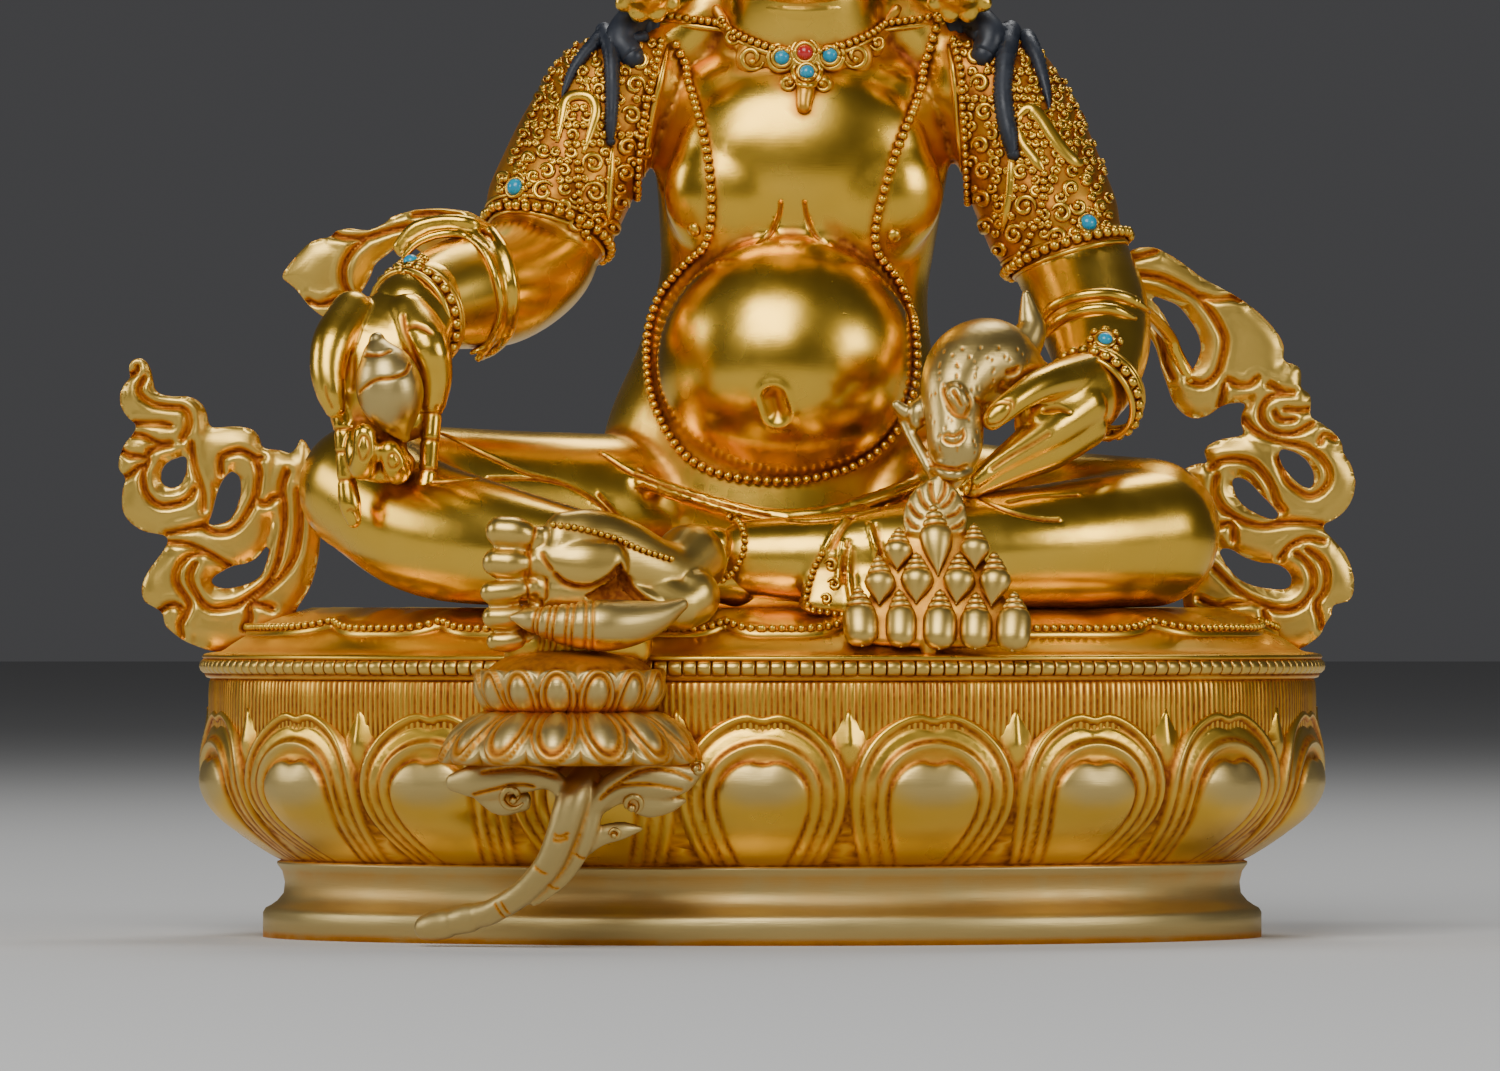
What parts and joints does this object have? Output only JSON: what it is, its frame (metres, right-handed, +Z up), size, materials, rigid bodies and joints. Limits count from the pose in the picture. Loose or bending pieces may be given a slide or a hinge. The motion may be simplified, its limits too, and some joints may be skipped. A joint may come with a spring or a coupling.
{
  "type": "jambhala statue",
  "caption": "Gilt cast statue of a seated, pot-bellied deity of wealth holding a citron and a jewel-spitting mongoose, on an oval lotus pedestal.",
  "frame": {"origin": "On the table under the middle of the oval pedestal, in the plane of its flat underside.", "axes": "+Z points up through the figure's head, the figure faces -Y, and +X is at its left hand, the side of the mongoose."},
  "size_m": [0.194, 0.1437, 0.2187],
  "materials": {
    "gilt": "polished fire gilding",
    "turquoise": "polished opaque stone",
    "coral": "polished opaque coral"
  },
  "bodies": {
    "root": {"pedestal": "gilt", "figure": "gilt", "foot_lotus": "gilt", "citron": "gilt", "mongoose": "gilt", "jewel_pile": "gilt", "scarf_right": "gilt", "scarf_left": "gilt", "crown": "gilt", "earring_right": "gilt", "earring_left": "gilt", "necklace_coral": "coral", "necklace_turquoise_right": "turquoise", "necklace_turquoise_left": "turquoise", "necklace_turquoise_low": "turquoise", "armlet_turquoise_right": "turquoise", "armlet_turquoise_left": "turquoise", "bracelet_turquoise_right": "turquoise", "bracelet_turquoise_left": "turquoise"}
  },
  "joints": []
}
